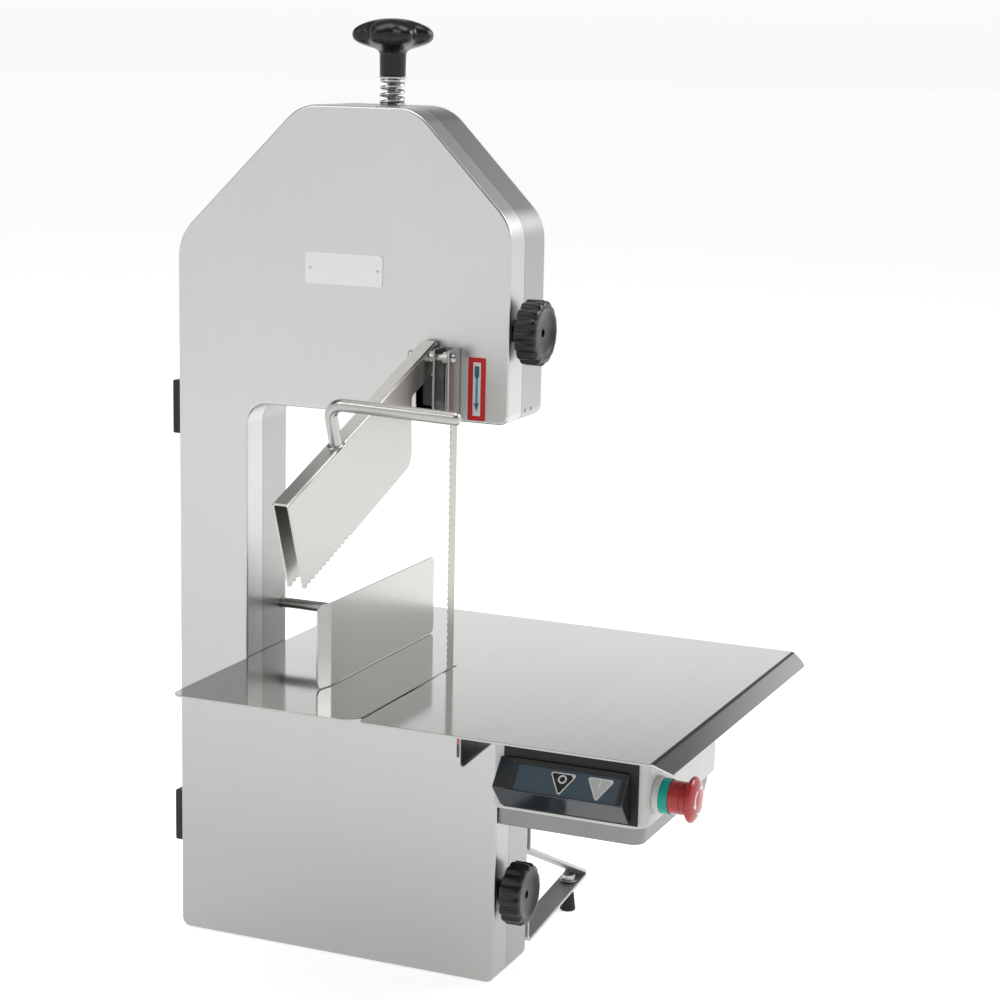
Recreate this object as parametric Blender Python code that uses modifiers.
"""Bench bone saw: a bandsaw with two stacked wheels in a C-shaped stainless housing.

Body frame: X runs right from the housing's left side, Y runs back from the door's front face, and Z runs
up from the housing's underside. The root empty then puts the floor at zero, with the origin at the middle.
"""

import math

import bmesh
import bpy
from mathutils import Matrix, Vector

# ---- driving dimensions, in metres ----
BODY_HEIGHT = 0.820
HEAD_WIDTH = 0.345
LOWER_WIDTH = 0.342
COLUMN_WIDTH = 0.075
THROAT_BOTTOM = 0.262
HEAD_BOTTOM = 0.538
TOP_LEFT, TOP_RIGHT = 0.130, 0.247
SHOULDER_LEFT, SHOULDER_RIGHT = 0.692, 0.719
NOTCH_X, NOTCH_LOW, NOTCH_HIGH, NOTCH_ROUND = 0.304, 0.209, 0.245, 0.006
HEAD_ROUND, THROAT_ROUND, CORNER_ROUND = 0.045, 0.021, 0.009
WALL = 0.0015
DOOR_DEPTH = 0.0303
HOUSING_FRONT = 0.0308
BODY_DEPTH = 0.0833
HOUSING_ROUND = 0.008
DOOR_ROUND = 0.002

GAP = 0.0003
FOOT_HEIGHT = 0.002

WHEEL_RADIUS = 0.100
WHEEL_X = 0.167
BLADE_LENGTH = 1.840
BLADE_WIDTH = 0.016
BLADE_THICKNESS = 0.0005
BLADE_Y = 0.051
BLADE_INNER = WHEEL_RADIUS + GAP
BLADE_CENTRE_RADIUS = BLADE_INNER + BLADE_THICKNESS / 2
BLADE_X = WHEEL_X + BLADE_CENTRE_RADIUS
LOWER_WHEEL_Z = 0.106
WHEEL_SPACING = BLADE_LENGTH / 2 - math.pi * BLADE_CENTRE_RADIUS
UPPER_WHEEL_Z = LOWER_WHEEL_Z + WHEEL_SPACING
RIM_FRONT, RIM_BACK = 0.041, 0.0622
SHAFT_RADIUS = 0.0125
BEARING_RADIUS = 0.026

SPINE_FRONT, SPINE_BACK = 0.0776, 0.0815

TABLE_TOP = 0.2878
TABLE_SHEET = 0.002
TABLE_LEFT, TABLE_FOLD = COLUMN_WIDTH + 0.0008, 0.545
TABLE_FRONT, TABLE_BACK = -0.1455, 0.2736
LIP_OUT, LIP_DROP = 0.013, 0.011
SLOT_HALF = 0.0013
SLOT_END = BLADE_Y + 0.015

SCREW_X, SCREW_Y = 0.1907, 0.070
KNOB_SEAT_Z = 0.846
STAR_LOW, STAR_TOP, STAR_RADIUS, STAR_LOBES = 0.869, 0.899, 0.0395, 8

DOOR_KNOB_Y = 0.0153
UPPER_KNOB_Z, LOWER_KNOB_Z = 0.623, 0.089
DOOR_KNOB_RADIUS, DOOR_KNOB_LOBES = 0.030, 16

HINGE_X, HINGE_Y = -0.0058, 0.03055
HINGE_HEIGHT = 0.052
UPPER_HINGE_Z, LOWER_HINGE_Z = 0.527, 0.114
BARREL_RADIUS = 0.0055
HINGE_PIN_RADIUS = 0.0025

PIN_Y, PIN_Z, PIN_RADIUS = -0.019, 0.5985, 0.0035
PUSHER_DROP = math.radians(20)
PUSHER_LENGTH, PUSHER_DEPTH = 0.299, 0.082
PUSHER_WIDTH, PUSHER_SHEET = 0.016, 0.002
PUSHER_TAIL, PUSHER_PIN_DEPTH = 0.016, 0.008
PUSHER_NECK, PUSHER_NECK_DEPTH = 0.064, 0.024
HANDLE_STATION, HANDLE_RISE, HANDLE_REACH, HANDLE_RADIUS = 0.199, 0.0395, 0.1215, 0.0055
HANDLE_POST, HANDLE_SAG = 0.0022, 0.0035

FENCE_X, FENCE_SHEET, FENCE_HEIGHT = 0.194, 0.002, 0.0795
FENCE_FRONT, FENCE_BACK, FENCE_WING = -0.053, 0.172, 0.0195
FENCE_BEND = math.radians(12)
ROD_Y, ROD_Z, ROD_RADIUS, ROD_START = 0.071, 0.3277, 0.005, -0.025
GUIDE_RADIUS = 0.0062

BOX_LEFT, BOX_RIGHT = LOWER_WIDTH + 0.0006, 0.493
BOX_BASE_RIGHT = 0.4875
BOX_FRONT, BOX_BACK = -0.011, 0.198
BOX_LOW, BOX_SEAM, BOX_TOP = 0.159, 0.179, 0.2825
BOX_WALL = 0.0025
PANEL_LEFT, PANEL_RIGHT = 0.3515, 0.4785
PANEL_LOW, PANEL_RIDGE, PANEL_HIGH = 0.1835, 0.2080, 0.2340
PANEL_PROUD = 0.0228
ESTOP_Y, ESTOP_Z, ESTOP_TOP = 0.020, 0.2055, BOX_RIGHT + 0.0418
KEY_REACH, KEY_DOWN = 0.0165, 0.533

BRACKET_STRIP = 0.003
BRACKET_WIDTH = 0.023
BRACKET_TIP = (0.247, 0.031)
REAR_FOOT_Y = 0.219

X_MIN, X_MAX = ROD_START, TABLE_FOLD + LIP_OUT
PUSHER_REACH = (PUSHER_LENGTH - PUSHER_TAIL) * math.cos(PUSHER_DROP)
PUSHER_FRONT = PIN_Y - PUSHER_REACH - PUSHER_PIN_DEPTH * math.sin(PUSHER_DROP)
CENTRE_X = (X_MIN + X_MAX) / 2
CENTRE_Y = (PUSHER_FRONT + TABLE_BACK) / 2

# Local planes for flat outlines: which way an outline's x, y and its thickness run.
FRONT_VIEW = Matrix(((1, 0, 0), (0, 0, -1), (0, 1, 0))).to_4x4()
SIDE_VIEW = Matrix(((0, 0, 1), (1, 0, 0), (0, 1, 0))).to_4x4()
PLAN_VIEW = Matrix.Identity(4)
ALONG_X = Matrix(((0, 0, 1), (1, 0, 0), (0, 1, 0))).to_4x4()
ALONG_Y = Matrix(((1, 0, 0), (0, 0, -1), (0, 1, 0))).to_4x4()
BACK_Y = Matrix(((1, 0, 0), (0, 0, 1), (0, -1, 0))).to_4x4()
ALONG_Z = Matrix.Identity(4)


# ---- scene, materials and frames ----
for old in list(bpy.data.objects):
    bpy.data.objects.remove(old, do_unlink=True)

PARTS = bpy.data.collections.new("bone_saw")
CUTTERS = bpy.data.collections.new("cutters")
bpy.context.scene.collection.children.link(PARTS)
bpy.context.scene.collection.children.link(CUTTERS)
CUTTERS.hide_render = True


def new_material(name, colour, roughness, metallic):
    """A Principled material with one colour."""
    made = bpy.data.materials.new(name)
    made.use_nodes = True
    shader = made.node_tree.nodes["Principled BSDF"]
    shader.inputs["Base Color"].default_value = (*colour, 1.0)
    shader.inputs["Roughness"].default_value = roughness
    shader.inputs["Metallic"].default_value = metallic
    return made


STAINLESS = new_material("brushed_stainless", (0.66, 0.66, 0.65), 0.32, 1.0)
POLISHED = new_material("polished_stainless", (0.72, 0.72, 0.71), 0.15, 1.0)
STEEL = new_material("machined_steel", (0.50, 0.50, 0.50), 0.35, 1.0)
ALUMINIUM = new_material("cast_aluminium", (0.62, 0.63, 0.64), 0.45, 1.0)
BLACK = new_material("black_plastic", (0.015, 0.016, 0.017), 0.45, 0.0)
RUBBER = new_material("black_rubber", (0.012, 0.012, 0.012), 0.75, 0.0)
WHITE = new_material("light_grey_plastic", (0.72, 0.73, 0.70), 0.45, 0.0)
SMOKE = new_material("smoked_panel", (0.055, 0.070, 0.085), 0.18, 0.0)
RED = new_material("red_plastic", (0.55, 0.03, 0.03), 0.35, 0.0)
TEAL = new_material("teal_plastic", (0.0, 0.32, 0.28), 0.4, 0.0)
GREY_KEY = new_material("grey_key", (0.55, 0.55, 0.52), 0.4, 0.0)
MOTOR_PAINT = new_material("motor_grey", (0.22, 0.23, 0.25), 0.5, 0.2)


def new_frame(name, at=(0.0, 0.0, 0.0), parent=None):
    """An empty on a joint's axis; what hangs on it keeps the body frame's coordinates."""
    empty = bpy.data.objects.new(name, None)
    empty.location = at
    PARTS.objects.link(empty)
    if parent is not None:
        empty.parent = parent
        empty.matrix_parent_inverse = Matrix.Translation(-Vector(parent["anchor"]))
    empty["anchor"] = (0.0, 0.0, 0.0) if parent is None else tuple(at)
    return empty


ROOT = new_frame("bone_saw", (-CENTRE_X, -CENTRE_Y, FOOT_HEIGHT))
DOOR = new_frame("door_axis", (HINGE_X, HINGE_Y, UPPER_HINGE_Z), ROOT)
UPPER_KNOB = new_frame("upper_knob_axis", (HEAD_WIDTH, DOOR_KNOB_Y, UPPER_KNOB_Z), DOOR)
LOWER_KNOB = new_frame("lower_knob_axis", (LOWER_WIDTH, DOOR_KNOB_Y, LOWER_KNOB_Z), DOOR)
PUSHER = new_frame("pusher_axis", (BLADE_X, PIN_Y, PIN_Z), DOOR)
FENCE = new_frame("fence_axis", (COLUMN_WIDTH, ROD_Y, ROD_Z), ROOT)
CARRIAGE = new_frame("carriage_axis", (SCREW_X, SCREW_Y, UPPER_WHEEL_Z), ROOT)
UPPER_WHEEL = new_frame("upper_wheel_axis", (WHEEL_X, BLADE_Y, UPPER_WHEEL_Z), CARRIAGE)
LOWER_WHEEL = new_frame("lower_wheel_axis", (WHEEL_X, BLADE_Y, LOWER_WHEEL_Z), ROOT)
TENSION = new_frame("tension_axis", (SCREW_X, SCREW_Y, KNOB_SEAT_Z), ROOT)
ESTOP = new_frame("estop_axis", (BOX_RIGHT, ESTOP_Y, ESTOP_Z), ROOT)
ESTOP_HEAD = new_frame("estop_head_axis", (BOX_RIGHT, ESTOP_Y, ESTOP_Z), ESTOP)
KEYS = new_frame("key_axis", (PANEL_LEFT, BOX_FRONT, PANEL_RIDGE), ROOT)


# ---- shape helpers ----
def adopt(obj, frame, material, cutter=False):
    """Link, parent and colour an object, keeping its body-frame coordinates."""
    (CUTTERS if cutter else PARTS).objects.link(obj)
    obj.parent = frame
    obj.matrix_parent_inverse = Matrix.Translation(-Vector(frame["anchor"]))
    if cutter:
        obj.hide_render = True
        obj.display_type = "WIRE"
    else:
        obj.data.materials.clear()
        obj.data.materials.append(material)
    return obj


def from_bmesh(name, shape, frame, material, cutter=False, smooth=None):
    """A new object from a bmesh."""
    bmesh.ops.recalc_face_normals(shape, faces=shape.faces)
    mesh = bpy.data.meshes.new(name)
    shape.to_mesh(mesh)
    shape.free()
    if smooth is not None:
        mesh.shade_smooth()
        mesh.set_sharp_from_angle(angle=math.radians(smooth))
    return adopt(bpy.data.objects.new(name, mesh), frame, material, cutter)


def bevelled(obj, width, segments=2):
    """Round the sharp edges of an object."""
    rounding = obj.modifiers.new("rounding", "BEVEL")
    rounding.width = width
    rounding.segments = segments
    rounding.limit_method = "ANGLE"
    rounding.angle_limit = math.radians(40)
    return obj


def boolean(obj, other, operation="DIFFERENCE"):
    """Cut or join a hidden helper shape."""
    step = obj.modifiers.new("shape", "BOOLEAN")
    step.operation = operation
    step.object = other
    step.solver = "EXACT"
    return obj


def box(name, low, high, frame, material, cutter=False):
    """A block between two corners."""
    size = Vector(high) - Vector(low)
    middle = (Vector(high) + Vector(low)) / 2
    shape = bmesh.new()
    bmesh.ops.create_cube(shape, size=1.0, matrix=Matrix.Translation(middle) @ Matrix.Diagonal((*size, 1.0)))
    return from_bmesh(name, shape, frame, material, cutter)


def rod(name, start, end, radius, frame, material, sides=24, cutter=False):
    """A round bar between two points."""
    start, end = Vector(start), Vector(end)
    turn = (end - start).to_track_quat("Z", "Y").to_matrix().to_4x4()
    shape = bmesh.new()
    bmesh.ops.create_cone(
        shape,
        cap_ends=True,
        segments=sides,
        radius1=radius,
        radius2=radius,
        depth=(end - start).length,
        matrix=Matrix.Translation((start + end) / 2) @ turn,
    )
    return from_bmesh(name, shape, frame, material, cutter, smooth=40)


def turned(name, profile, at, along, frame, material, steps=24, ring=False):
    """A shape of (radius, height) points turned about an axis, listed from its top down the outside."""
    mesh = bpy.data.meshes.new(name)
    points = [(radius, 0.0, height) for radius, height in profile]
    edges = [(i, i + 1) for i in range(len(points) - 1)]
    if ring:
        edges.append((len(points) - 1, 0))
    mesh.from_pydata(points, edges, [])
    obj = adopt(bpy.data.objects.new(name, mesh), frame, material)
    screw = obj.modifiers.new("turning", "SCREW")
    screw.steps = steps
    screw.render_steps = steps
    screw.use_merge_vertices = True
    screw.merge_threshold = 0.00001
    screw.use_smooth_shade = False
    obj.matrix_basis = Matrix.Translation(at) @ along
    return obj


def rounded(corners, steps_per_quarter=4):
    """A closed outline from (x, y, radius) corners, with each corner an arc."""
    outline = []
    for i, (x, y, radius) in enumerate(corners):
        corner = Vector((x, y))
        if radius <= 0:
            outline.append(corner)
            continue
        before = (Vector(corners[i - 1][:2]) - corner).normalized()
        after = (Vector(corners[(i + 1) % len(corners)][:2]) - corner).normalized()
        half = before.angle(after) / 2
        centre = corner + (before + after).normalized() * (radius / math.sin(half))
        start = corner + before * (radius / math.tan(half)) - centre
        sweep = math.pi - 2 * half
        if before.x * after.y - before.y * after.x > 0:
            sweep = -sweep
        steps = max(2, round(abs(sweep) / (math.pi / 2) * steps_per_quarter))
        for k in range(steps + 1):
            angle = sweep * k / steps
            turn = Matrix.Rotation(angle, 2)
            outline.append(centre + turn @ start)
    return outline


def thick_line(points, thickness):
    """The closed outline of a strip of metal bent along a line, with mitred corners."""
    points = [Vector(point) for point in points]
    left, right = [], []
    for i, point in enumerate(points):
        before = (point - points[i - 1]).normalized() if i else (points[1] - point).normalized()
        after = (points[i + 1] - point).normalized() if i < len(points) - 1 else before
        across = Vector((-(before + after).y, (before + after).x)).normalized()
        reach = thickness / 2 / max(0.2, across.dot(Vector((-before.y, before.x))))
        left.append(point + across * reach)
        right.append(point - across * reach)
    return left + right[::-1]


def extruded(name, outlines, low, high, view, frame, material, cutter=False):
    """Flat outlines given a thickness from low to high along their third direction."""
    curve = bpy.data.curves.new(name, "CURVE")
    curve.dimensions = "2D"
    curve.fill_mode = "BOTH"
    curve.extrude = (high - low) / 2
    for outline in outlines:
        spline = curve.splines.new("POLY")
        spline.points.add(len(outline) - 1)
        spline.use_cyclic_u = True
        for point, (x, y) in zip(spline.points, outline):
            point.co = (x, y, 0.0, 1.0)
    guide = bpy.data.objects.new(name + "_outline", curve)
    CUTTERS.objects.link(guide)
    bpy.context.view_layer.update()
    graph = bpy.context.evaluated_depsgraph_get()
    mesh = bpy.data.meshes.new_from_object(guide.evaluated_get(graph))
    bpy.data.objects.remove(guide)
    shape = bmesh.new()
    shape.from_mesh(mesh)
    bmesh.ops.remove_doubles(shape, verts=shape.verts, dist=0.00001)
    bmesh.ops.translate(shape, verts=shape.verts, vec=(0.0, 0.0, (high + low) / 2))
    bmesh.ops.transform(shape, matrix=view, verts=shape.verts)
    return from_bmesh(name, shape, frame, material, cutter)


def lobed(name, profile, lobes, at, along, frame, material, samples=4):
    """Rings of (height, radius, lobe depth) joined into one solid, such as a hand knob with its stud."""
    shape = bmesh.new()
    rings = []
    count = lobes * samples
    for height, radius, depth in profile:
        ring = []
        for k in range(count):
            angle = 2 * math.pi * k / count
            reach = radius - depth * (0.5 - 0.5 * math.cos(lobes * angle))
            ring.append(shape.verts.new((reach * math.cos(angle), reach * math.sin(angle), height)))
        rings.append(ring)
    for lower, upper in zip(rings, rings[1:]):
        for k in range(count):
            nxt = (k + 1) % count
            shape.faces.new((lower[k], lower[nxt], upper[nxt], upper[k]))
    shape.faces.new(rings[0][::-1])
    shape.faces.new(rings[-1])
    bmesh.ops.transform(shape, matrix=Matrix.Translation(at) @ along, verts=shape.verts)
    return from_bmesh(name, shape, frame, material, smooth=35)


def pan(name, outline, mouth, floor, edge_round, segments, frame, material):
    """A sheet-metal pan: a flat floor at one depth, with a skirt that runs to the mouth."""
    shape = bmesh.new()
    base = [shape.verts.new((x, floor, z)) for x, z in outline]
    face = shape.faces.new(base)
    side = bmesh.ops.extrude_edge_only(shape, edges=list(face.edges))
    moved = [item for item in side["geom"] if isinstance(item, bmesh.types.BMVert)]
    bmesh.ops.translate(shape, verts=moved, vec=(0.0, mouth - floor, 0.0))
    rim = [edge for edge in face.edges]
    bmesh.ops.bevel(shape, geom=rim, offset=edge_round, segments=segments, profile=0.5, affect="EDGES")
    bmesh.ops.recalc_face_normals(shape, faces=shape.faces)
    lowest = min(shape.faces, key=lambda item: abs(item.calc_center_median().y - floor))
    outward = -1.0 if floor < mouth else 1.0
    if lowest.normal.y * outward < 0:
        bmesh.ops.reverse_faces(shape, faces=shape.faces)
    mesh = bpy.data.meshes.new(name)
    shape.to_mesh(mesh)
    shape.free()
    obj = adopt(bpy.data.objects.new(name, mesh), frame, material)
    sheet = obj.modifiers.new("sheet", "SOLIDIFY")
    sheet.thickness = WALL
    sheet.offset = -1.0
    sheet.use_even_offset = True
    return obj


def body_outline():
    """The C-shaped front view that the door and the rear housing share."""
    return rounded(
        [
            (0.0, 0.0, CORNER_ROUND),
            (LOWER_WIDTH, 0.0, CORNER_ROUND),
            (LOWER_WIDTH, NOTCH_HIGH, NOTCH_ROUND),
            (NOTCH_X, NOTCH_LOW, 0.0),
            (NOTCH_X, THROAT_BOTTOM, CORNER_ROUND),
            (COLUMN_WIDTH, THROAT_BOTTOM, CORNER_ROUND),
            (COLUMN_WIDTH, HEAD_BOTTOM, THROAT_ROUND),
            (HEAD_WIDTH, HEAD_BOTTOM, CORNER_ROUND),
            (HEAD_WIDTH, SHOULDER_RIGHT, HEAD_ROUND),
            (TOP_RIGHT, BODY_HEIGHT, HEAD_ROUND),
            (TOP_LEFT, BODY_HEIGHT, HEAD_ROUND),
            (0.0, SHOULDER_LEFT, HEAD_ROUND),
        ],
        steps_per_quarter=4,
    )


# ---- frame: rear housing and spine ----
def make_rear_housing():
    depths = HOUSING_FRONT, BODY_DEPTH
    housing = pan("rear_housing", body_outline(), *depths, HOUSING_ROUND, 3, ROOT, STAINLESS)
    slots = [
        ("shaft_hole", (WHEEL_X, 0.078, LOWER_WHEEL_Z), (WHEEL_X, 0.088, LOWER_WHEEL_Z), 0.018),
        ("screw_hole", (SCREW_X, SCREW_Y, 0.812), (SCREW_X, SCREW_Y, 0.828), 0.0062),
        ("rod_hole_right", (0.070, ROD_Y, ROD_Z), (0.080, ROD_Y, ROD_Z), ROD_RADIUS + 0.0006),
        ("rod_hole_left", (-0.005, ROD_Y, ROD_Z), (0.005, ROD_Y, ROD_Z), ROD_RADIUS + 0.0006),
    ]
    for name, start, end, radius in slots:
        boolean(housing, rod(name, start, end, radius, ROOT, None, cutter=True))
    blade_low = (BLADE_X - 0.0035, 0.038, THROAT_BOTTOM - 0.006)
    blade_high = (BLADE_X + 0.0035, BLADE_Y + 0.012, THROAT_BOTTOM + 0.006)
    boolean(housing, box("blade_slot_low", blade_low, blade_high, ROOT, None, cutter=True))
    pass_low = (BLADE_X - 0.015, 0.020, HEAD_BOTTOM - 0.006)
    pass_high = (BLADE_X + 0.012, BLADE_Y + 0.015, HEAD_BOTTOM + 0.006)
    boolean(housing, box("blade_slot_high", pass_low, pass_high, ROOT, None, cutter=True))


def make_spine():
    """The steel back plate that carries both wheels and ties head to base."""
    outline = rounded(
        [
            (0.016, 0.012, 0.004),
            (0.300, 0.012, 0.004),
            (0.300, 0.190, 0.020),
            (0.056, 0.240, 0.020),
            (0.056, 0.560, 0.020),
            (0.300, 0.600, 0.020),
            (0.300, 0.735, 0.020),
            (0.240, 0.800, 0.020),
            (0.135, 0.800, 0.020),
            (0.016, 0.680, 0.020),
        ]
    )
    shaft = [
        Vector((WHEEL_X + 0.016 * math.cos(a), LOWER_WHEEL_Z - 0.016 * math.sin(a)))
        for a in (2 * math.pi * k / 20 for k in range(20))
    ]
    extruded("spine_plate", [outline, shaft], -SPINE_BACK, -SPINE_FRONT, FRONT_VIEW, ROOT, STEEL)


# ---- door, hinges, catches ----
def make_door():
    door = pan("door", body_outline(), DOOR_DEPTH, 0.0, DOOR_ROUND, 2, DOOR, STAINLESS)
    low = (BLADE_X - 0.0155, -0.010, HEAD_BOTTOM - 0.010)
    high = (BLADE_X + 0.012, DOOR_DEPTH + 0.010, 0.579)
    boolean(door, box("pusher_slot", low, high, DOOR, None, cutter=True))
    for name, x, z in (("upper", HEAD_WIDTH, UPPER_KNOB_Z), ("lower", LOWER_WIDTH, LOWER_KNOB_Z)):
        start, end = (x - 0.006, DOOR_KNOB_Y, z), (x + 0.006, DOOR_KNOB_Y, z)
        boolean(door, rod(name + "_stud_hole", start, end, 0.0046, DOOR, None, cutter=True))


def make_hinge(name, z):
    """A pair of leaves with a three-part barrel, and the pin down its middle."""
    low, high = z - HINGE_HEIGHT / 2, z + HINGE_HEIGHT / 2
    third = HINGE_HEIGHT / 3
    outer, inner = HINGE_X - 0.0038, -GAP
    near, far = 0.0040, 0.0570
    spans = {
        "door": [(low + third + GAP, high - third - GAP)],
        "frame": [(low, low + third - GAP), (high - third + GAP, high)],
    }
    for side, frame in (("door", DOOR), ("frame", ROOT)):
        edges = (near, HINGE_Y - BARREL_RADIUS - 0.001)
        if side == "frame":
            edges = (HINGE_Y + BARREL_RADIUS + 0.001, far)
        leaf = box(f"{name}_hinge_{side}_leaf", (outer, edges[0], low), (inner, edges[1], high), frame, BLACK)
        for k, (start, end) in enumerate(spans[side]):
            key = f"{name}_{side}_barrel_{k}"
            centre = (HINGE_X, HINGE_Y)
            barrel = rod(key, (*centre, start), (*centre, end), BARREL_RADIUS, frame, None, 20, True)
            boolean(leaf, barrel, "UNION")
            web_y = sorted((HINGE_Y, edges[1] - 0.002 if side == "door" else edges[0] + 0.002))
            web_low, web_high = (HINGE_X - 0.002, web_y[0], start), (HINGE_X + 0.003, web_y[1], end)
            boolean(leaf, box(key + "_web", web_low, web_high, frame, None, True), "UNION")
        ends = (HINGE_X, HINGE_Y, low - 0.01), (HINGE_X, HINGE_Y, high + 0.01)
        boolean(leaf, rod(f"{name}_{side}_pin_hole", *ends, HINGE_PIN_RADIUS + GAP, frame, None, 16, True))
    ends = (HINGE_X, HINGE_Y, low), (HINGE_X, HINGE_Y, high + 0.0015)
    rod(f"{name}_hinge_pin", *ends, HINGE_PIN_RADIUS, ROOT, STEEL, 16)


def make_door_knob(name, wall_x, z, frame):
    """A lobed hand knob with its stud and retaining collar inside the door."""
    profile = [
        (-0.0145, 0.0075, 0.0),
        (-0.0085, 0.0075, 0.0),
        (-0.0084, 0.0040, 0.0),
        (0.0004, 0.0040, 0.0),
        (0.0005, 0.0105, 0.0),
        (0.0078, 0.0120, 0.0),
        (0.0085, DOOR_KNOB_RADIUS - 0.0015, 0.0016),
        (0.0100, DOOR_KNOB_RADIUS, 0.0020),
        (0.0260, DOOR_KNOB_RADIUS, 0.0020),
        (0.0285, DOOR_KNOB_RADIUS - 0.0030, 0.0008),
        (0.0292, DOOR_KNOB_RADIUS - 0.0070, 0.0),
        (0.0262, 0.0120, 0.0),
    ]
    lobed(f"{name}_door_knob", profile, DOOR_KNOB_LOBES, (wall_x, DOOR_KNOB_Y, z), ALONG_X, frame, BLACK)


def make_keeper(name, wall_x, z):
    """A joggled fork on the housing wall that the knob's stud slides into as the door shuts."""
    inner = wall_x - WALL
    line = [
        (inner - 0.0013, 0.060),
        (inner - 0.0013, 0.038),
        (inner - 0.0026, 0.032),
        (inner - 0.0026, 0.008),
    ]
    outline = thick_line(line, 0.002)
    keeper = extruded(f"{name}_keeper", [outline], z - 0.014, z + 0.014, PLAN_VIEW, ROOT, STEEL)
    slot_low = (inner - 0.010, 0.004, z - 0.0046)
    slot_high = (inner + 0.003, DOOR_KNOB_Y + 0.0046, z + 0.0046)
    boolean(keeper, box(f"{name}_keeper_slot", slot_low, slot_high, ROOT, None, cutter=True))


# ---- blade and wheels ----
def racetrack(radius, steps=24):
    """The blade's path at one radius, anticlockwise in the front view."""
    points = []
    for k in range(steps + 1):
        angle = math.pi + math.pi * k / steps
        points.append(Vector((WHEEL_X + radius * math.cos(angle), LOWER_WHEEL_Z + radius * math.sin(angle))))
    for k in range(steps + 1):
        angle = math.pi * k / steps
        points.append(Vector((WHEEL_X + radius * math.cos(angle), UPPER_WHEEL_Z + radius * math.sin(angle))))
    return points


def make_blade():
    outer, inner = racetrack(BLADE_INNER + BLADE_THICKNESS), racetrack(BLADE_INNER)
    low, high = -(BLADE_Y + BLADE_WIDTH / 2), -(BLADE_Y - BLADE_WIDTH / 2)
    extruded("saw_blade", [outer, inner], low, high, FRONT_VIEW, ROOT, STEEL)


def make_wheel(name, z, hub_radius, bore, frame):
    """A dished wheel turned from one profile, with a lip behind the blade and five round windows."""
    web_front, web_back = 0.047, 0.055
    profile = [
        (bore, -0.036),
        (hub_radius, -0.036),
        (hub_radius, -web_front),
        (0.086, -web_front),
        (0.088, -RIM_FRONT),
        (WHEEL_RADIUS, -RIM_FRONT),
        (WHEEL_RADIUS, -0.0602),
        (0.1014, -0.0606),
        (0.1014, -RIM_BACK),
        (0.088, -RIM_BACK),
        (0.086, -web_back),
        (hub_radius, -web_back),
        (hub_radius, -0.0655),
        (bore, -0.0655),
    ]
    at = (WHEEL_X, 0.0, z)
    wheel = turned(name, profile, at, ALONG_Y, frame, ALUMINIUM, steps=30, ring=True)
    for k in range(5):
        angle = 2 * math.pi * (k + 0.25) / 5
        x, up = WHEEL_X + 0.059 * math.cos(angle), z + 0.059 * math.sin(angle)
        ends = (x, 0.035, up), (x, 0.070, up)
        boolean(wheel, rod(f"{name}_window_{k}", *ends, 0.016, frame, None, 12, True))


def make_lower_drive():
    make_wheel("lower_wheel", LOWER_WHEEL_Z, 0.028, SHAFT_RADIUS + GAP, LOWER_WHEEL)
    shaft = [
        (0.0, -0.026),
        (0.014, -0.026),
        (0.018, -0.028),
        (0.018, -0.0355),
        (SHAFT_RADIUS, -0.0357),
        (SHAFT_RADIUS, -0.108),
        (0.0, -0.108),
    ]
    at = (WHEEL_X, 0.0, LOWER_WHEEL_Z)
    turned("drive_shaft", shaft, at, ALONG_Y, LOWER_WHEEL, STEEL)
    housing = [
        (0.0132, -0.0662),
        (0.0300, -0.0662),
        (0.0340, -0.0680),
        (0.0340, -SPINE_FRONT + GAP),
        (0.0132, -SPINE_FRONT + GAP),
    ]
    turned("lower_bearing_housing", housing, at, ALONG_Y, ROOT, STEEL, ring=True)


def make_upper_carriage():
    """A plate that slides up and down between two rails and carries the upper axle."""
    left, right = 0.110, 0.224
    low, high = UPPER_WHEEL_Z - 0.065, UPPER_WHEEL_Z + 0.052
    front, back = 0.0668, 0.0750
    plate = box("wheel_carriage", (left, front, low), (right, back, high), CARRIAGE, STEEL)
    bore = (WHEEL_X, 0.05, UPPER_WHEEL_Z), (WHEEL_X, 0.08, UPPER_WHEEL_Z)
    boolean(plate, rod("axle_bore", *bore, 0.0108, CARRIAGE, None, cutter=True))
    channel_low = (SCREW_X - 0.0056, 0.060, high - 0.030)
    channel_high = (SCREW_X + 0.0056, 0.080, high + 0.010)
    boolean(plate, box("screw_channel", channel_low, channel_high, CARRIAGE, None, cutter=True))
    axle = [
        (0.0, -0.0255),
        (0.0130, -0.0255),
        (0.0160, -0.0275),
        (0.0160, -0.0345),
        (SHAFT_RADIUS - 0.0002, -0.0347),
        (SHAFT_RADIUS - 0.0002, -front + GAP),
        (0.0105, -front + GAP),
        (0.0105, -back),
        (0.0, -back),
    ]
    turned("upper_axle", axle, (WHEEL_X, 0.0, UPPER_WHEEL_Z), ALONG_Y, CARRIAGE, STEEL)
    rail_low, rail_high = UPPER_WHEEL_Z - 0.080, UPPER_WHEEL_Z + 0.060
    for name, edge, sign in (("left", left, -1), ("right", right, 1)):
        outer = edge + sign * 0.012
        face = edge + sign * 0.0004
        lip = edge - sign * 0.005
        outline = [
            (outer, 0.0635),
            (lip, 0.0635),
            (lip, front - 0.0004),
            (face, front - 0.0004),
            (face, SPINE_FRONT - GAP),
            (outer, SPINE_FRONT - GAP),
        ]
        extruded(f"carriage_rail_{name}", [outline], rail_low, rail_high, PLAN_VIEW, ROOT, STEEL)


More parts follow.
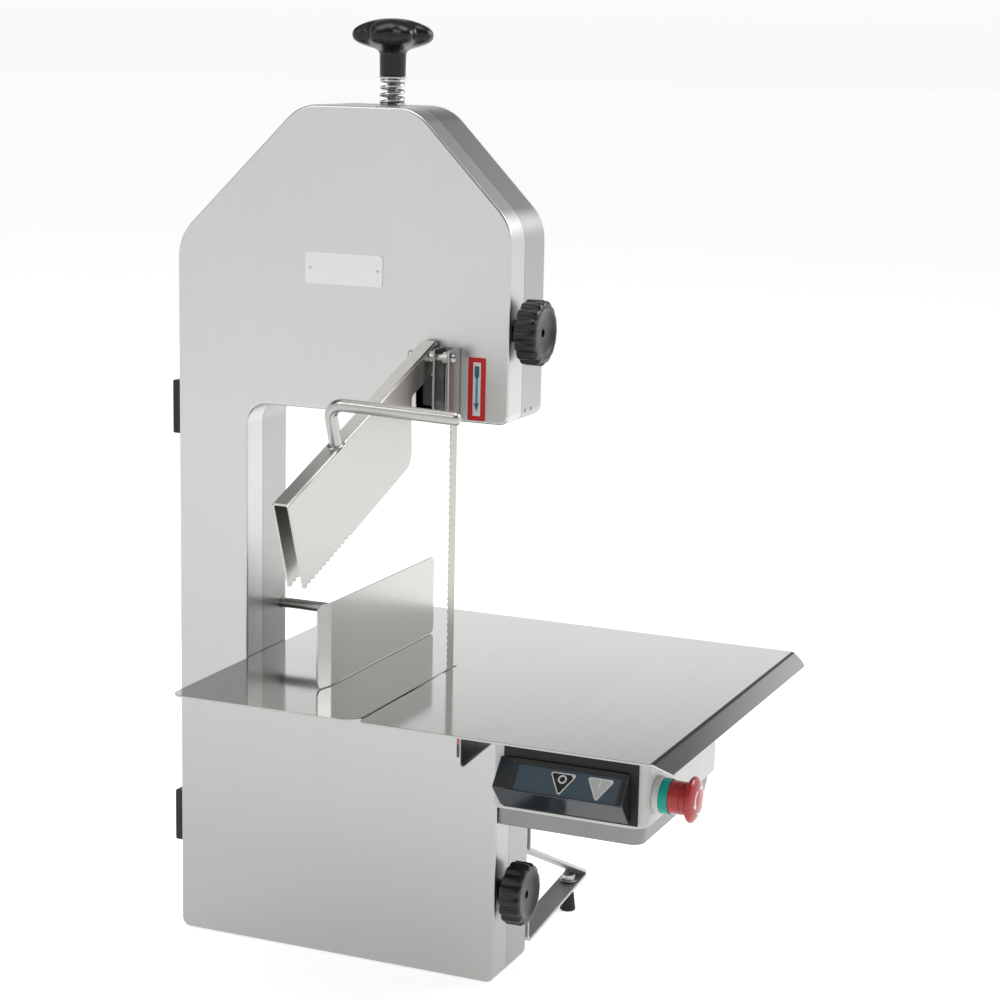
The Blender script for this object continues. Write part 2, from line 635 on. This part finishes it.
def make_upper_wheel():
    make_wheel("upper_wheel", UPPER_WHEEL_Z, 0.032, BEARING_RADIUS + GAP, UPPER_WHEEL)
    ring = [
        (SHAFT_RADIUS + 0.0001, -0.0365),
        (BEARING_RADIUS, -0.0365),
        (BEARING_RADIUS, -0.0650),
        (SHAFT_RADIUS + 0.0001, -0.0650),
    ]
    turned("upper_bearing", ring, (WHEEL_X, 0.0, UPPER_WHEEL_Z), ALONG_Y, UPPER_WHEEL, STEEL, ring=True)


def make_tension():
    """Star knob on its screw, with the washer and the spring that keep the blade tight."""
    star = [
        (KNOB_SEAT_Z, 0.0116, 0.0),
        (KNOB_SEAT_Z + 0.001, 0.0122, 0.0),
        (KNOB_SEAT_Z + 0.021, 0.0125, 0.0),
        (STAR_LOW + 0.001, 0.0160, 0.0),
        (STAR_LOW + 0.004, 0.0250, 0.0008),
        (STAR_LOW + 0.008, STAR_RADIUS - 0.0055, 0.0040),
        (STAR_LOW + 0.012, STAR_RADIUS - 0.0008, 0.0065),
        (STAR_LOW + 0.016, STAR_RADIUS, 0.0072),
        (STAR_LOW + 0.020, STAR_RADIUS - 0.0018, 0.0062),
        (STAR_LOW + 0.024, STAR_RADIUS - 0.0075, 0.0036),
        (STAR_LOW + 0.0275, 0.0220, 0.0010),
        (STAR_TOP, 0.0080, 0.0),
    ]
    knob = lobed("tension_knob", star, STAR_LOBES, (SCREW_X, SCREW_Y, 0.0), ALONG_Z, TENSION, BLACK, samples=6)
    socket = (SCREW_X, SCREW_Y, KNOB_SEAT_Z - 0.01), (SCREW_X, SCREW_Y, KNOB_SEAT_Z + 0.020)
    boolean(knob, rod("knob_socket", *socket, 0.0053, TENSION, None, cutter=True))
    bottom = UPPER_WHEEL_Z + 0.026
    top = KNOB_SEAT_Z + 0.0195
    rod("tension_screw", (SCREW_X, SCREW_Y, bottom), (SCREW_X, SCREW_Y, top), 0.0050, TENSION, STEEL, 20)
    seat = [
        (0.0062, KNOB_SEAT_Z - GAP),
        (0.0130, KNOB_SEAT_Z - GAP),
        (0.0130, KNOB_SEAT_Z - 0.0020),
        (0.0062, KNOB_SEAT_Z - 0.0020),
    ]
    turned("spring_washer", seat, (SCREW_X, SCREW_Y, 0.0), ALONG_Z, ROOT, STEEL, steps=24, ring=True)
    wire, coil, turns, per_turn = 0.0014, 0.0092, 4, 9
    low, high = BODY_HEIGHT + wire + GAP, KNOB_SEAT_Z - 0.0020 - wire - GAP
    curve = bpy.data.curves.new("tension_spring", "CURVE")
    curve.dimensions = "3D"
    curve.bevel_depth = wire
    curve.bevel_resolution = 2
    curve.use_fill_caps = True
    spline = curve.splines.new("POLY")
    count = int(turns * per_turn) + 1
    spline.points.add(count - 1)
    for k, point in enumerate(spline.points):
        angle = 2 * math.pi * k / per_turn
        height = low + (high - low) * k / (count - 1)
        x, y = SCREW_X + coil * math.cos(angle), SCREW_Y + coil * math.sin(angle)
        point.co = (x, y, height, 1.0)
    adopt(bpy.data.objects.new("tension_spring", curve), ROOT, STEEL)


def make_blade_guides():
    """Black guide blocks above and below the table, slotted for the blade."""
    specs = [
        ("upper_blade_guide", (BLADE_X - 0.0135, 0.008, 0.549), (BLADE_X + 0.0105, 0.066, 0.590)),
        ("lower_blade_guide", (BLADE_X - 0.0110, 0.034, 0.214), (BLADE_X + 0.0290, 0.066, 0.254)),
    ]
    for name, low, high in specs:
        block = bevelled(box(name, low, high, ROOT, BLACK), 0.0015, 1)
        slot_low = (BLADE_X - 0.0009, BLADE_Y - 0.011, low[2] - 0.01)
        slot_high = (BLADE_X + 0.0009, high[1] + 0.01, high[2] + 0.01)
        boolean(block, box(name + "_slot", slot_low, slot_high, ROOT, None, cutter=True))


# ---- motor ----
def make_motor():
    at = (WHEEL_X, 0.0, LOWER_WHEEL_Z)
    flange = [
        (0.0135, -BODY_DEPTH - GAP),
        (0.0660, -BODY_DEPTH - GAP),
        (0.0680, -BODY_DEPTH - 0.002),
        (0.0680, -0.0945),
        (0.0135, -0.0945),
    ]
    turned("motor_flange", flange, at, ALONG_Y, ROOT, MOTOR_PAINT, ring=True, steps=28)
    fins, radius, depth = 28, 0.062, 0.005
    outline = []
    for k in range(fins):
        for share, reach in ((0.0, radius - depth), (0.3, radius - depth), (0.4, radius), (0.9, radius)):
            angle = 2 * math.pi * (k + share) / fins
            outline.append((WHEEL_X + reach * math.cos(angle), LOWER_WHEEL_Z + reach * math.sin(angle)))
    stator = extruded("motor_body", [outline], -0.232, -0.0948, FRONT_VIEW, ROOT, MOTOR_PAINT)
    pocket = (WHEEL_X, 0.090, LOWER_WHEEL_Z), (WHEEL_X, 0.115, LOWER_WHEEL_Z)
    boolean(stator, rod("shaft_pocket", *pocket, 0.0135, ROOT, None, cutter=True))
    cowl = [
        (0.0600, -0.2323),
        (0.0620, -0.2323),
        (0.0635, -0.2400),
        (0.0635, -0.2560),
        (0.0560, -0.2620),
        (0.0, -0.2620),
        (0.0, -0.2600),
        (0.0550, -0.2600),
        (0.0615, -0.2550),
        (0.0615, -0.2400),
    ]
    turned("motor_fan_cover", cowl, at, ALONG_Y, ROOT, MOTOR_PAINT, ring=True, steps=28)
    top = LOWER_WHEEL_Z + radius + GAP
    box_low, box_high = (WHEEL_X - 0.036, 0.118, top), (WHEEL_X + 0.036, 0.186, top + 0.034)
    bevelled(box("motor_terminal_box", box_low, box_high, ROOT, BLACK), 0.003)


# ---- table, fence ----
def make_table():
    """One polished sheet with a blade slot from its front edge and a turned-down right edge."""
    shape = bmesh.new()
    slot_left, slot_right = BLADE_X - SLOT_HALF, BLADE_X + SLOT_HALF
    plan = rounded(
        [
            (TABLE_LEFT, TABLE_FRONT, 0.012),
            (slot_left, TABLE_FRONT, 0.018),
            (slot_left, SLOT_END, 0.0),
            (slot_right, SLOT_END, 0.0),
            (slot_right, TABLE_FRONT, 0.005),
            (TABLE_FOLD, TABLE_FRONT, 0.0),
            (TABLE_FOLD, TABLE_BACK, 0.0),
            (TABLE_LEFT, TABLE_BACK, 0.012),
        ]
    )
    top = [shape.verts.new((x, y, TABLE_TOP)) for x, y in plan]
    shape.faces.new(top)
    near = min(top, key=lambda v: (v.co - Vector((TABLE_FOLD, TABLE_FRONT, TABLE_TOP))).length)
    far = min(top, key=lambda v: (v.co - Vector((TABLE_FOLD, TABLE_BACK, TABLE_TOP))).length)
    outline = [(0.5, -0.0010), (1.0, -0.0130)]
    lip = [near]
    for share, shift in outline:
        x, z = TABLE_FOLD + LIP_OUT * share, TABLE_TOP - LIP_DROP * share
        lip.append(shape.verts.new((x, TABLE_FRONT - shift, z)))
    for share, shift in outline[::-1]:
        x, z = TABLE_FOLD + LIP_OUT * share, TABLE_TOP - LIP_DROP * share
        lip.append(shape.verts.new((x, TABLE_BACK + shift * 0.4, z)))
    lip.append(far)
    shape.faces.new(lip)
    bmesh.ops.recalc_face_normals(shape, faces=shape.faces)
    if sum(face.normal.z for face in shape.faces) < 0:
        bmesh.ops.reverse_faces(shape, faces=shape.faces)
    mesh = bpy.data.meshes.new("table_top")
    shape.to_mesh(mesh)
    shape.free()
    table = adopt(bpy.data.objects.new("table_top", mesh), ROOT, POLISHED)
    sheet = table.modifiers.new("sheet", "SOLIDIFY")
    sheet.thickness = TABLE_SHEET
    sheet.offset = -1.0
    sheet.use_even_offset = True


def make_table_supports():
    """Two bearers under the table; the right one hooks into the housing's notch."""
    under = TABLE_TOP - TABLE_SHEET - GAP
    for name, x, width in (("left", 0.108, 0.024), ("right", 0.3055, 0.024)):
        low = (x, -0.055, THROAT_BOTTOM + GAP)
        high = (x + width, 0.232, under)
        bearer = bevelled(box(f"table_bearer_{name}", low, high, ROOT, STAINLESS), 0.001, 1)
        web_low = (x + 0.0025, -0.060, THROAT_BOTTOM - 0.005)
        web_high = (x + width - 0.0025, 0.240, under - 0.0025)
        boolean(bearer, box(f"bearer_channel_{name}", web_low, web_high, ROOT, None, cutter=True))
    hook_low, hook_high = (NOTCH_X + 0.0005, 0.036, 0.226), (NOTCH_X + 0.0088, 0.062, THROAT_BOTTOM)
    bevelled(box("table_hook", hook_low, hook_high, ROOT, BLACK), 0.001, 1)


def make_fence():
    """A thickness plate with an angled front wing, carried on a round bar from the column."""
    wing_x = FENCE_X - FENCE_WING * math.sin(FENCE_BEND)
    wing_y = FENCE_FRONT - FENCE_WING * math.cos(FENCE_BEND)
    low, high = TABLE_TOP + 0.0008, TABLE_TOP + FENCE_HEIGHT
    shape = bmesh.new()
    plan = [(FENCE_X, FENCE_BACK), (FENCE_X, FENCE_FRONT), (wing_x, wing_y)]
    lower = [shape.verts.new((x, y, low)) for x, y in plan]
    upper = [shape.verts.new((x, y, high)) for x, y in plan]
    for k in range(2):
        shape.faces.new((lower[k], lower[k + 1], upper[k + 1], upper[k]))
    ends = [lower[0], upper[0], lower[2], upper[2]]
    bmesh.ops.bevel(shape, geom=ends, offset=0.006, segments=3, profile=0.5, affect="VERTICES")
    bmesh.ops.recalc_face_normals(shape, faces=shape.faces)
    if sum(face.normal.x for face in shape.faces) < 0:
        bmesh.ops.reverse_faces(shape, faces=shape.faces)
    mesh = bpy.data.meshes.new("fence_plate")
    shape.to_mesh(mesh)
    shape.free()
    plate = adopt(bpy.data.objects.new("fence_plate", mesh), FENCE, POLISHED)
    sheet = plate.modifiers.new("sheet", "SOLIDIFY")
    sheet.thickness = FENCE_SHEET
    sheet.offset = -1.0
    end = FENCE_X - FENCE_SHEET - GAP
    rod("fence_rod", (ROD_START, ROD_Y, ROD_Z), (end, ROD_Y, ROD_Z), ROD_RADIUS, FENCE, POLISHED, 24)
    start, stop = 0.0180, COLUMN_WIDTH - 0.0032
    guide = [
        (ROD_RADIUS + GAP, stop),
        (GUIDE_RADIUS, stop),
        (GUIDE_RADIUS, start),
        (ROD_RADIUS + GAP, start),
    ]
    turned("fence_guide", guide, (0.0, ROD_Y, ROD_Z), ALONG_X, ROOT, BLACK, steps=20, ring=True)


# ---- pusher ----
def pusher_matrix():
    """Local x runs along the arm from the pin, y down into its depth, and z across it."""
    along = Vector((0.0, -math.cos(PUSHER_DROP), -math.sin(PUSHER_DROP)))
    down = Vector((0.0, math.sin(PUSHER_DROP), -math.cos(PUSHER_DROP)))
    across = along.cross(down)
    turn = Matrix((along, down, across)).transposed().to_4x4()
    return Matrix.Translation((BLADE_X, PIN_Y, PIN_Z)) @ turn


def make_pusher():
    """A folded channel that straddles the blade, with gripping teeth at the front of both side plates."""
    tail, front = -PUSHER_TAIL, PUSHER_LENGTH - PUSHER_TAIL
    top, bottom = -PUSHER_PIN_DEPTH, PUSHER_DEPTH - PUSHER_PIN_DEPTH
    neck = PUSHER_NECK_DEPTH - PUSHER_PIN_DEPTH
    corners = [
        (tail, top, 0.0),
        (front, top, 0.0),
        (front, bottom, 0.003),
        (0.066, bottom, 0.016),
        (0.054, bottom - 0.040, 0.030),
        (PUSHER_NECK - 0.017, neck, 0.006),
        (tail, neck, 0.010),
    ]
    outline = rounded(corners)
    teeth, pitch, depth = 12, 0.0072, 0.0030
    start = front - 0.004
    bites = []
    for k in range(teeth):
        x = start - pitch * k
        bites += [(x, bottom + 0.001), (x - pitch / 2, bottom - depth), (x - pitch, bottom + 0.001)]
    comb = [(start, bottom + 0.010)] + bites + [(start - pitch * teeth, bottom + 0.010)]
    view = pusher_matrix()
    half = PUSHER_WIDTH / 2
    channel = extruded("pusher_channel", [outline], -half, half, view, PUSHER, STAINLESS)
    inner = half - PUSHER_SHEET
    under = top + PUSHER_SHEET
    hollow = [(tail - 0.02, under), (front + 0.02, under), (front + 0.02, 0.2), (tail - 0.02, 0.2)]
    boolean(channel, extruded("channel_hollow", [hollow], -inner, inner, view, PUSHER, None, True))
    boolean(channel, extruded("channel_teeth", [comb], -half - 0.01, half + 0.01, view, PUSHER, None, True))
    hole = (BLADE_X - 0.02, PIN_Y, PIN_Z), (BLADE_X + 0.02, PIN_Y, PIN_Z)
    boolean(channel, rod("pusher_pin_hole", *hole, PIN_RADIUS + GAP, PUSHER, None, 20, True))


def make_pusher_handle():
    """A bent round bar: up from the channel's back, then out to the right and a little down."""
    bend, steps = 0.014, 6
    station = HANDLE_STATION - PUSHER_TAIL
    foot = -PUSHER_PIN_DEPTH - GAP
    level = -PUSHER_PIN_DEPTH - HANDLE_RISE
    local = [Vector((station, foot, HANDLE_POST)), Vector((station, level + bend, HANDLE_POST))]
    for k in range(1, steps + 1):
        angle = math.pi / 2 * k / steps
        out = HANDLE_POST + bend * (1 - math.cos(angle))
        local.append(Vector((station, level + bend * (1 - math.sin(angle)), out)))
    local.append(Vector((station, level + HANDLE_SAG, HANDLE_REACH)))
    curve = bpy.data.curves.new("pusher_handle", "CURVE")
    curve.dimensions = "3D"
    curve.bevel_depth = HANDLE_RADIUS
    curve.bevel_resolution = 3
    curve.use_fill_caps = True
    spline = curve.splines.new("POLY")
    spline.points.add(len(local) - 1)
    for point, place in zip(spline.points, local):
        point.co = (*(pusher_matrix() @ place), 1.0)
    adopt(bpy.data.objects.new("pusher_handle", curve), PUSHER, POLISHED)


def make_pusher_bracket():
    """An upright channel on the door with a cross pin for the pusher."""
    left, right = 0.2805, 0.2970
    low, high = 0.541, 0.6065
    wall = 0.002
    outline = [
        (left, -0.026),
        (left + wall, -0.026),
        (left + wall, -0.0023),
        (right - wall, -0.0023),
        (right - wall, -0.026),
        (right, -0.026),
        (right, -GAP),
        (left, -GAP),
    ]
    bracket = extruded("pusher_bracket", [outline], low, high, PLAN_VIEW, DOOR, STAINLESS)
    hole = (left - 0.01, PIN_Y, PIN_Z), (right + 0.01, PIN_Y, PIN_Z)
    boolean(bracket, rod("bracket_hole", *hole, PIN_RADIUS + GAP, DOOR, None, 20, True))
    half = PUSHER_WIDTH / 2
    edges = [
        (0.0, right + 0.0030),
        (PIN_RADIUS, right + 0.0025),
        (PIN_RADIUS, right - wall - GAP),
        (0.0058, right - wall - GAP),
        (0.0058, right - wall - 0.0060),
        (PIN_RADIUS, right - wall - 0.0062),
        (PIN_RADIUS, left - GAP),
        (0.0058, left - GAP),
        (0.0058, BLADE_X + half + GAP),
        (PIN_RADIUS, BLADE_X + half + 0.0002),
        (PIN_RADIUS, BLADE_X - half - GAP),
        (0.0058, BLADE_X - half - GAP),
        (0.0058, BLADE_X - half - 0.0040),
        (0.0040, BLADE_X - half - 0.0055),
        (0.0, BLADE_X - half - 0.0060),
    ]
    turned("pusher_pin", edges, (0.0, PIN_Y, PIN_Z), ALONG_X, DOOR, POLISHED, steps=20)


# ---- switch box ----
def rounded_block(name, low, high, radii, frame, material, cutter=False):
    """A block with rounded upright edges; radii go round from the front left to the back left."""
    corners = [
        (low[0], low[1], radii[0]),
        (high[0], low[1], radii[1]),
        (high[0], high[1], radii[2]),
        (low[0], high[1], radii[3]),
    ]
    return extruded(name, [rounded(corners)], low[2], high[2], PLAN_VIEW, frame, material, cutter)


def make_switch_box():
    """A plastic housing on the body's right side: a deep upper shell over a shallow base pan."""
    low, high = (BOX_LEFT, BOX_FRONT, BOX_SEAM + GAP), (BOX_RIGHT, BOX_BACK, BOX_TOP)
    shell = rounded_block("switch_box_shell", low, high, (0.004, 0.016, 0.010, 0.004), ROOT, WHITE)
    bevelled(shell, 0.0015, 1)
    w = BOX_WALL
    in_low = (BOX_LEFT + w, BOX_FRONT + w, BOX_SEAM - 0.01)
    in_high = (BOX_RIGHT - w, BOX_BACK - w, BOX_TOP - w)
    radii = (0.003, 0.013, 0.008, 0.003)
    boolean(shell, rounded_block("shell_hollow", in_low, in_high, radii, ROOT, None, True))
    stem = (BOX_RIGHT - 0.01, ESTOP_Y, ESTOP_Z), (BOX_RIGHT + 0.01, ESTOP_Y, ESTOP_Z)
    boolean(shell, rod("estop_hole", *stem, 0.0112, ROOT, None, 24, True))
    base_low, base_high = (BOX_LEFT, 0.0, BOX_LOW), (BOX_BASE_RIGHT, BOX_BACK, BOX_SEAM)
    base = rounded_block("switch_box_base", base_low, base_high, (0.004, 0.012, 0.010, 0.004), ROOT, WHITE)
    bevelled(base, 0.0015, 1)
    pan_low = (BOX_LEFT + w, w, BOX_LOW + w)
    pan_high = (BOX_BASE_RIGHT - w, BOX_BACK - w, BOX_SEAM + 0.01)
    radii = (0.003, 0.010, 0.008, 0.003)
    boolean(base, rounded_block("base_hollow", pan_low, pan_high, radii, ROOT, None, True))


def panel_face():
    """Where the sloping key face starts, its unit direction down the slope, and its outward normal."""
    high = Vector((0.0, BOX_FRONT - 0.0026, PANEL_HIGH))
    ridge = Vector((0.0, BOX_FRONT - 0.0026 - PANEL_PROUD, PANEL_RIDGE))
    down = (ridge - high).normalized()
    normal = Vector((1.0, 0.0, 0.0)).cross(down)
    if normal.y > 0:
        normal = -normal
    return high, down, normal, (ridge - high).length


def key_outline(size, shrink=0.0):
    """A triangle with rounded corners, one point down the slope."""
    reach = size - shrink
    corners = []
    for angle in (150, 30, 270):
        a = math.radians(angle)
        corners.append((reach * math.cos(a), reach * math.sin(a), 0.0022))
    return rounded(corners[::-1], 3)


def make_control_panel():
    """A wedge-shaped control panel on a black gasket, with two keys in its upper slope."""
    gasket_low = (PANEL_LEFT + 0.002, BOX_FRONT - 0.0023, PANEL_LOW - 0.0005)
    gasket_high = (PANEL_RIGHT + 0.008, BOX_FRONT - GAP, 0.252)
    bevelled(box("panel_gasket", gasket_low, gasket_high, ROOT, RUBBER), 0.0006, 1)
    back = BOX_FRONT - 0.0026
    profile = rounded(
        [
            (back, PANEL_LOW, 0.001),
            (back, PANEL_HIGH, 0.001),
            (back - PANEL_PROUD, PANEL_RIDGE, 0.002),
        ],
        3,
    )
    wedge = extruded("control_panel", [profile], PANEL_LEFT, PANEL_RIGHT, SIDE_VIEW, ROOT, SMOKE)
    high, down, normal, length = panel_face()
    across = Vector((1.0, 0.0, 0.0))
    for name, x, material in (("stop_button", 0.4170, BLACK), ("start_button", 0.4535, GREY_KEY)):
        centre = Vector((x, high.y, high.z)) + down * (length * KEY_DOWN)
        turn = Matrix((across, -down, normal)).transposed().to_4x4()
        view = Matrix.Translation(centre) @ turn
        pocket = extruded(name + "_pocket", [key_outline(KEY_REACH)], -0.0060, 0.0050, view, ROOT, None, True)
        boolean(wedge, pocket)
        extruded(name, [key_outline(KEY_REACH, 0.0008)], -0.0038, 0.0006, view, KEYS, material)


def make_estop():
    """A mushroom emergency stop: a fixed collar, a stem that is pushed in, and a head that twists on it."""
    at = (0.0, ESTOP_Y, ESTOP_Z)
    collar = [
        (0.0108, BOX_RIGHT + 0.0062),
        (0.0158, BOX_RIGHT + 0.0062),
        (0.0158, BOX_RIGHT + 0.0144),
        (0.0166, BOX_RIGHT + 0.0144),
        (0.0166, BOX_RIGHT + 0.0060),
        (0.0172, BOX_RIGHT + 0.0060),
        (0.0178, BOX_RIGHT + 0.0054),
        (0.0178, BOX_RIGHT + GAP),
        (0.0108, BOX_RIGHT + GAP),
    ]
    turned("estop_collar", collar, at, ALONG_X, ROOT, TEAL, ring=True)
    stem = [
        (0.0, BOX_RIGHT + 0.0200),
        (0.0085, BOX_RIGHT + 0.0200),
        (0.0085, BOX_RIGHT - 0.0120),
        (0.0100, BOX_RIGHT - 0.0122),
        (0.0100, BOX_RIGHT - 0.0180),
        (0.0, BOX_RIGHT - 0.0180),
    ]
    turned("estop_stem", stem, at, ALONG_X, ESTOP, STEEL, steps=20)
    head = [
        (0.0, ESTOP_TOP),
        (0.0080, ESTOP_TOP - 0.0006),
        (0.0140, ESTOP_TOP - 0.0019),
        (0.0186, ESTOP_TOP - 0.0035),
        (0.0208, ESTOP_TOP - 0.0050),
        (0.0216, ESTOP_TOP - 0.0066),
        (0.0215, ESTOP_TOP - 0.0078),
        (0.0204, ESTOP_TOP - 0.0092),
        (0.0154, ESTOP_TOP - 0.0102),
        (0.0154, BOX_RIGHT + 0.0107),
        (0.0150, BOX_RIGHT + 0.0103),
        (0.0088, BOX_RIGHT + 0.0103),
        (0.0088, BOX_RIGHT + 0.0203),
        (0.0, BOX_RIGHT + 0.0203),
    ]
    turned("estop_button", head, at, ALONG_X, ESTOP_HEAD, RED)


def make_cable_gland():
    gland = [
        (0.0, BOX_BACK + 0.0240),
        (0.0055, BOX_BACK + 0.0240),
        (0.0085, BOX_BACK + 0.0210),
        (0.0100, BOX_BACK + 0.0120),
        (0.0120, BOX_BACK + 0.0110),
        (0.0120, BOX_BACK + GAP),
        (0.0, BOX_BACK + GAP),
    ]
    turned("cable_gland", gland, (0.440, 0.0, 0.212), BACK_Y, ROOT, BLACK, steps=20)


# ---- feet ----
def make_feet():
    tip_y, tip_z = BRACKET_TIP
    strip = BRACKET_STRIP
    back = BODY_DEPTH + GAP + strip / 2
    upper = [(back, 0.138), (back, 0.108), (tip_y, tip_z)]
    line = upper + [(back + 0.004, 0.0125), (back, 0.018), (back, 0.040)]
    for name, x in (("left", 0.0), ("right", LOWER_WIDTH - BRACKET_WIDTH)):
        outline = thick_line(line, strip)
        span = x, x + BRACKET_WIDTH
        bracket = extruded(f"foot_bracket_{name}", [outline], *span, SIDE_VIEW, ROOT, STAINLESS)
        middle = x + BRACKET_WIDTH / 2
        hole = (middle, REAR_FOOT_Y, 0.010), (middle, REAR_FOOT_Y, 0.036)
        boolean(bracket, rod(f"foot_hole_{name}", *hole, 0.0046, ROOT, None, 16, True))
        foot = [
            (0.0, 0.0365),
            (0.0070, 0.0365),
            (0.0075, 0.0320),
            (0.0040, 0.0318),
            (0.0040, 0.0170),
            (0.0060, 0.0165),
            (0.0066, 0.0140),
            (0.0080, -FOOT_HEIGHT + 0.001),
            (0.0074, -FOOT_HEIGHT),
            (0.0, -FOOT_HEIGHT),
        ]
        turned(f"rear_foot_{name}", foot, (middle, REAR_FOOT_Y, 0.0), ALONG_Z, ROOT, RUBBER, steps=20)
        pad_x = 0.030 if name == "left" else LOWER_WIDTH - 0.030
        pad = [
            (0.0, -GAP),
            (0.0115, -GAP),
            (0.0120, -FOOT_HEIGHT + 0.0006),
            (0.0115, -FOOT_HEIGHT),
            (0.0, -FOOT_HEIGHT),
        ]
        turned(f"front_foot_{name}", pad, (pad_x, 0.054, 0.0), ALONG_Z, ROOT, RUBBER, steps=20)


def build():
    make_rear_housing()
    make_spine()
    make_door()
    make_hinge("upper", UPPER_HINGE_Z)
    make_hinge("lower", LOWER_HINGE_Z)
    make_door_knob("upper", HEAD_WIDTH, UPPER_KNOB_Z, UPPER_KNOB)
    make_door_knob("lower", LOWER_WIDTH, LOWER_KNOB_Z, LOWER_KNOB)
    make_keeper("upper", HEAD_WIDTH, UPPER_KNOB_Z)
    make_keeper("lower", LOWER_WIDTH, LOWER_KNOB_Z)
    make_blade()
    make_lower_drive()
    make_upper_carriage()
    make_upper_wheel()
    make_tension()
    make_blade_guides()
    make_motor()
    make_table()
    make_table_supports()
    make_fence()
    make_pusher()
    make_pusher_handle()
    make_pusher_bracket()
    make_switch_box()
    make_control_panel()
    make_estop()
    make_cable_gland()
    make_feet()


build()
